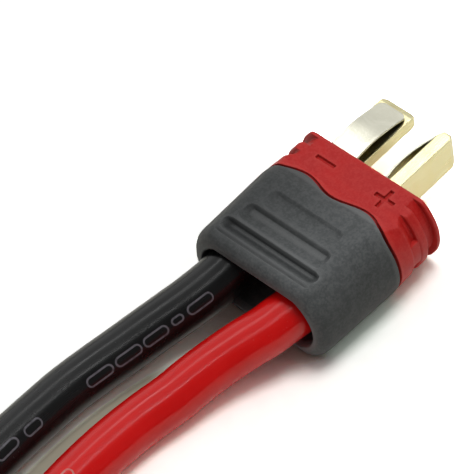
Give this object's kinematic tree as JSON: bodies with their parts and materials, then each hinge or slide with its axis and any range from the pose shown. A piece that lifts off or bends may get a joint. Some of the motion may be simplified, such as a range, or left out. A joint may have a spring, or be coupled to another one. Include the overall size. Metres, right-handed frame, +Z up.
{
  "type": "t-plug connector",
  "caption": "Flat low-voltage power plug with blades set in a T, a ribbed moulded housing, a grooved slip-on cover and flexible wires that leave its rear side by side.",
  "frame": {"origin": "middle of the housing's flat mating face", "axes": "+X out of the mating face, along the blades; +Y towards the flat negative blade and the black wire; +Z up, with the cover and the wires lying on the surface below"},
  "size_m": [0.1259, 0.0177, 0.0088],
  "materials": {
    "red_plastic": "moulded nylon with a soft sheen",
    "grey_plastic": "fine matt moulding",
    "gold_plate": "bright thin gold plating",
    "spring_metal": "bright nickel-plated strip",
    "solder": "bright tin",
    "strands": "fine copper strands",
    "black_silicone": "smooth soft silicone",
    "red_silicone": "smooth soft silicone"
  },
  "bodies": {
    "root": {"housing": "red_plastic", "cover": "grey_plastic", "negative_blade": "gold_plate", "positive_blade": "gold_plate", "negative_leaf": "spring_metal", "positive_leaf": "spring_metal", "negative_solder": "solder", "positive_solder": "solder", "black_core": "strands", "red_core": "strands", "black_wire": "black_silicone", "red_wire": "red_silicone", "black_wire_end": "solder", "red_wire_end": "solder"}
  },
  "joints": []
}
